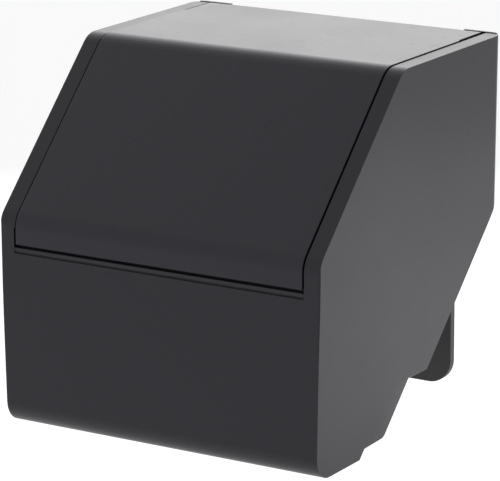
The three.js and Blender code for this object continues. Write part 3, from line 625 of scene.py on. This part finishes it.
# lock sleeve: a flanged tube with a small lead-in
o = lathe("lock_bush_finished", (0, LOCK_Y, 0), UP, [
    (8.45, 0.5), (9.75, 0.5), (10.0, 0.75), (10.0, 3.15), (10.15, 3.3), (13.2, 3.3), (13.5, 3.6), (13.5, 5.4), (13.2, 5.7),
    (10.25, 5.7), (10.0, 5.95), (10.0, 13.7), (9.7, 14.0), (8.5, 14.0), (8.2, 13.7), (8.2, 0.75)], 96)
shade(o, 50)
place(o, "lock_bush")

# lock barrel: rounded face, ring groove, keyhole
o = lathe("lock_barrel_finished", (0, LOCK_Y, 0), UP, [
    (0, 0.8), (6.9, 0.8), (7.35, 0.88), (7.7, 1.1), (7.9, 1.5), (7.9, 14.25), (7.85, 14.3), (6.6, 14.3), (6.6, 15.8),
    (7.85, 15.8), (7.9, 15.85), (7.9, 19.6), (7.5, 20.0), (3.5, 20.0), (3.3, 19.8), (3.3, 12.5), (0, 12.5)], 96)
key = [lathe("k1", (0, LOCK_Y, 0), UP, [(0, 0), (3.1, 0), (3.1, 7.5), (0, 7.5)], 48),
       bar("k2", (0, LOCK_Y, 3.25), (1, 0, 0), (0, 1, 0), 11.6, 2.2, 6.5),
       bar("k3", (0, LOCK_Y + 3.2, 3.0), (1, 0, 0), (0, 1, 0), 2.0, 2.4, 6.0)]
boolean(o, key)
shade(o, 32)
place(o, "lock_barrel")

# retaining ring: open flat ring with round ends
bm = bmesh.new()
ring = []
gap = math.asin(2.9 / 8.4)
steps = 72
outline = []
for k in range(steps + 1):
    a = math.pi / 2 + gap + (2 * math.pi - 2 * gap) * k / steps
    outline.append((9.9 * math.cos(a), LOCK_Y + 9.9 * math.sin(a)))
inner_pts = []
for k in range(steps + 1):
    a = math.pi / 2 + gap + (2 * math.pi - 2 * gap) * (1 - k / steps)
    inner_pts.append((6.9 * math.cos(a), LOCK_Y + 6.9 * math.sin(a)))
lo, hi = [], []
for x, y in outline:
    lo.append(bm.verts.new(P(x, y, 14.5)))
    hi.append(bm.verts.new(P(x, y, 15.6)))
li, hi2 = [], []
for x, y in inner_pts[::-1]:
    li.append(bm.verts.new(P(x, y, 14.5)))
    hi2.append(bm.verts.new(P(x, y, 15.6)))
for k in range(steps):
    bm.faces.new((lo[k], lo[k + 1], hi[k + 1], hi[k]))
    bm.faces.new((li[k], hi2[k], hi2[k + 1], li[k + 1]))
    bm.faces.new((lo[k], li[k], li[k + 1], lo[k + 1]))
    bm.faces.new((hi[k], hi[k + 1], hi2[k + 1], hi2[k]))
bm.faces.new((lo[0], hi[0], hi2[0], li[0]))
bm.faces.new((lo[-1], li[-1], hi2[-1], hi[-1]))
o = new_object("retaining_ring_finished", bm)
finish_mesh(o, 0.18, 2, 50)
place(o, "retaining_ring")

# lock spindle with a threaded upper end
prof = [(0, 12.9), (2.6, 12.9), (3.0, 13.3), (3.0, CAM_Z + 3.1)]
h = CAM_Z + 3.2
while h < 111.9:
    prof += [(2.75, h), (2.98, h + 0.25), (2.98, h + 0.33), (2.75, h + 0.58)]
    h += 0.7
prof += [(2.7, 112.3), (2.2, 112.9), (0, 112.95)]
o = lathe("lock_spindle_finished", (0, LOCK_Y, 0), UP, prof, 48)
shade(o, 30)
place(o, "lock_spindle")

# cam: round hub and a tongue with a rounded end
hub = lathe("lock_cam_finished", (0, LOCK_Y, 0), UP, [
    (3.3, CAM_Z - 1.3), (3.5, CAM_Z - 1.5), (6.7, CAM_Z - 1.5), (7.0, CAM_Z - 1.2), (7.0, CAM_Z + 2.7), (6.7, CAM_Z + 3.0),
    (3.5, CAM_Z + 3.0), (3.3, CAM_Z + 2.8)], 64)
pts = [(5.0, LOCK_Y - 4, CAM_Z)]
for k in range(13):
    a = -math.pi / 2 + math.pi * k / 12
    pts.append((15.5 - 2.6 + 2.6 * math.cos(a), LOCK_Y + 1.4 * (1 if a > 0 else -1 if a < 0 else 0) + 2.6 * math.sin(a), CAM_Z))
pts.append((5.0, LOCK_Y + 4, CAM_Z))
tongue = prism("tongue", pts, None, (0, 0, 3.0))
boolean(hub, [tongue], "UNION")
finish_mesh(hub, 0.25, 2, 50)
place(hub, "lock_cam")

# cam nut: hexagon with chamfered corners
hexa = lathe("cam_nut_finished", (0, LOCK_Y, 0), UP, [(0, CAM_Z + 3.3), (5.8, CAM_Z + 3.3), (5.8, CAM_Z + 7.3), (0, CAM_Z + 7.3)], 6)
cone = lathe("cone", (0, LOCK_Y, 0), UP, [
    (0, CAM_Z + 3.2), (5.1, CAM_Z + 3.2), (6.2, CAM_Z + 3.95), (6.2, CAM_Z + 6.65), (5.1, CAM_Z + 7.4), (0, CAM_Z + 7.4)], 64)
boolean(hexa, [cone], "INTERSECT")
bore = [(0, CAM_Z + 3.0), (3.75, CAM_Z + 3.0), (3.3, CAM_Z + 3.7)]
h = CAM_Z + 3.75
while h < CAM_Z + 6.6:
    bore += [(3.3, h), (3.1, h + 0.25), (3.3, h + 0.5)]
    h += 0.7
bore += [(3.3, CAM_Z + 6.9), (3.75, CAM_Z + 7.6), (0, CAM_Z + 7.6)]
boolean(hexa, [lathe("bore", (0, LOCK_Y, 0), UP, bore, 48)])
shade(hexa, 28)
place(hexa, "cam_nut")

# bait rods: bent wire with a handle at the right end
TR = 82.0
for where, (y, z), rise in (("front", (57.5, 32.0), 36.0), ("rear", (89.0, 57.5), 10.0)):
    pts = bend([(-TR - 1.6, y, z + 6.0), (-TR - 1.6, y, z), (TR + 1.6, y, z), (TR + 1.6, y, z + rise)], 2.6, 8)
    o = wire(f"bait_rod_{where}_finished", pts, 1.42)
    shade(o, 40)
    place(o, f"bait_rod_{where}")

# wall bracket: plate with keyholes and screw holes, climbing ribs, two hooks
pts = []
for cx, cz, r, a0 in ((71 - 14, -3.2 + 14, 14, -90), (71 - 8, 182 - 8, 8, 0), (-71 + 8, 182 - 8, 8, 90), (-71 + 14, -3.2 + 14, 14, 180)):
    for k in range(17):
        a = math.radians(a0 + 90 * k / 16)
        pts.append((cx + r * math.cos(a), 195.9, cz + r * math.sin(a)))
o = prism("wall_bracket_finished", pts, None, (0, 4.6, 0))
holes = []
for sx in (-1, 1):
    key = []
    x, z = 22.0 * sx, 138.0
    a1 = math.degrees(math.acos(2.6 / 5.2))
    for k in range(33):
        a = math.radians(180 - a1 + (180 + 2 * a1) * k / 32)
        key.append((x + 5.2 * math.cos(a), 190, z + 5.2 * math.sin(a)))
    for k in range(17):
        a = math.radians(180 * k / 16)
        key.append((x + 2.6 * math.cos(a), 190, z + 10 + 2.6 * math.sin(a)))
    holes.append(prism("key", key, None, (0, 14, 0)))
    holes.append(lathe("hole", (52 * sx, 190, 16), (0, 1, 0), [(0, 0), (2.75, 0), (2.75, 14), (0, 14)], 40))
boolean(o, holes, merge_flats=False)
finish_mesh(o, 0.8, cap=lambda x, y, z: 0.4 if abs(x) < 56 and 10 < z < 155 else 0.8)
parts = []
for k in range(14):
    z = 8.0 + 8 * k
    rib = prism("rib", [(-38, 194.5, z), (38, 194.5, z), (38, 194.5, z + 2), (-38, 194.5, z + 2)], None, (0, 1.9, 0))
    parts.append(finish_mesh(rib, 0.5))
for sx in (-1, 1):
    hook = prism("hook", [(46 * sx - 9, y, z) for y, z in (
        (196.4, 150), (196.4, 162.3), (188.0, 162.3), (188.0, 171.6), (187.0, 172.6), (184.6, 172.6), (184.6, 158.6))],
        None, (18, 0, 0))
    parts.append(finish_mesh(hook, 0.5))
join(o, parts)
shade(o)
place(o, "wall_bracket")

missing = [n for n in NODES if not any(x.name == n + "_finished" for x in coll.objects)]
if missing:
    raise RuntimeError("no finished piece for " + ", ".join(missing))

# ------------------------------------------------------------------ stage and light
FLOOR_Z = CAD_BOX[0][2] - 0.22


def stage_floor():
    me = bpy.data.meshes.new("floor")
    bm = bmesh.new()
    bmesh.ops.create_grid(bm, x_segments=1, y_segments=1, size=14)
    bm.to_mesh(me)
    bm.free()
    o = bpy.data.objects.new("floor", me)
    o.location = (0, 0, FLOOR_Z)
    coll.objects.link(o)
    m, nt, bsdf = new_material("pale_floor")
    bsdf.inputs["Base Color"].default_value = (0.5, 0.5, 0.5, 1)
    bsdf.inputs["Roughness"].default_value = 0.9
    bsdf.inputs["Specular IOR Level"].default_value = 0.1
    bsdf.inputs["Emission Color"].default_value = (1, 1, 1, 1)
    bsdf.inputs["Emission Strength"].default_value = 0.62
    me.materials.append(m)
    return o


stage_floor()
world = bpy.data.worlds.new("studio")
scene.world = world
world.use_nodes = True
bg = world.node_tree.nodes["Background"]
bg.inputs["Color"].default_value = (1, 1, 1, 1)
wnt = world.node_tree
wco = wnt.nodes.new("ShaderNodeTexCoord")
wdot = wnt.nodes.new("ShaderNodeVectorMath")
wdot.operation = "DOT_PRODUCT"
wdot.inputs[1].default_value = (0.82, -0.18, 0.54)
wnt.links.new(wco.outputs["Generated"], wdot.inputs[0])
wmap = wnt.nodes.new("ShaderNodeMapRange")
wmap.inputs["From Min"].default_value = 0.1
wmap.inputs["From Max"].default_value = 0.9
wmap.inputs["To Min"].default_value = 0.9
wmap.inputs["To Max"].default_value = 0.3
wmap.clamp = True
wnt.links.new(wdot.outputs["Value"], wmap.inputs["Value"])
wnt.links.new(wmap.outputs[0], bg.inputs["Strength"])


def panel(name, about, towards, distance, size, radiance):
    """A soft box: centred at about + towards * distance, facing about, of an even radiance."""
    t = Vector(towards).normalized()
    d = bpy.data.lights.new(name, "AREA")
    d.shape = "RECTANGLE"
    d.size, d.size_y = size
    d.energy = math.pi * size[0] * size[1] * radiance
    o = bpy.data.objects.new(name, d)
    o.location = Vector(about) + t * distance
    o.rotation_euler = (-t).to_track_quat("-Z", "Y").to_euler()
    o.visible_camera = False
    coll.objects.link(o)
    return o


panel("soft_rear_left", (0, -0.08, 0.11), (-0.509, 0.822, 0.30), 1.3, (1.5, 1.1), 1.65)
panel("kicker_right", (0.1, -0.15, -0.03), (0.509, 0.822, -0.22), 0.42, (0.3, 0.2), 0.72)
scene.view_settings.view_transform = "Standard"
scene.view_settings.look = "None"
scene.view_settings.exposure = 0.0
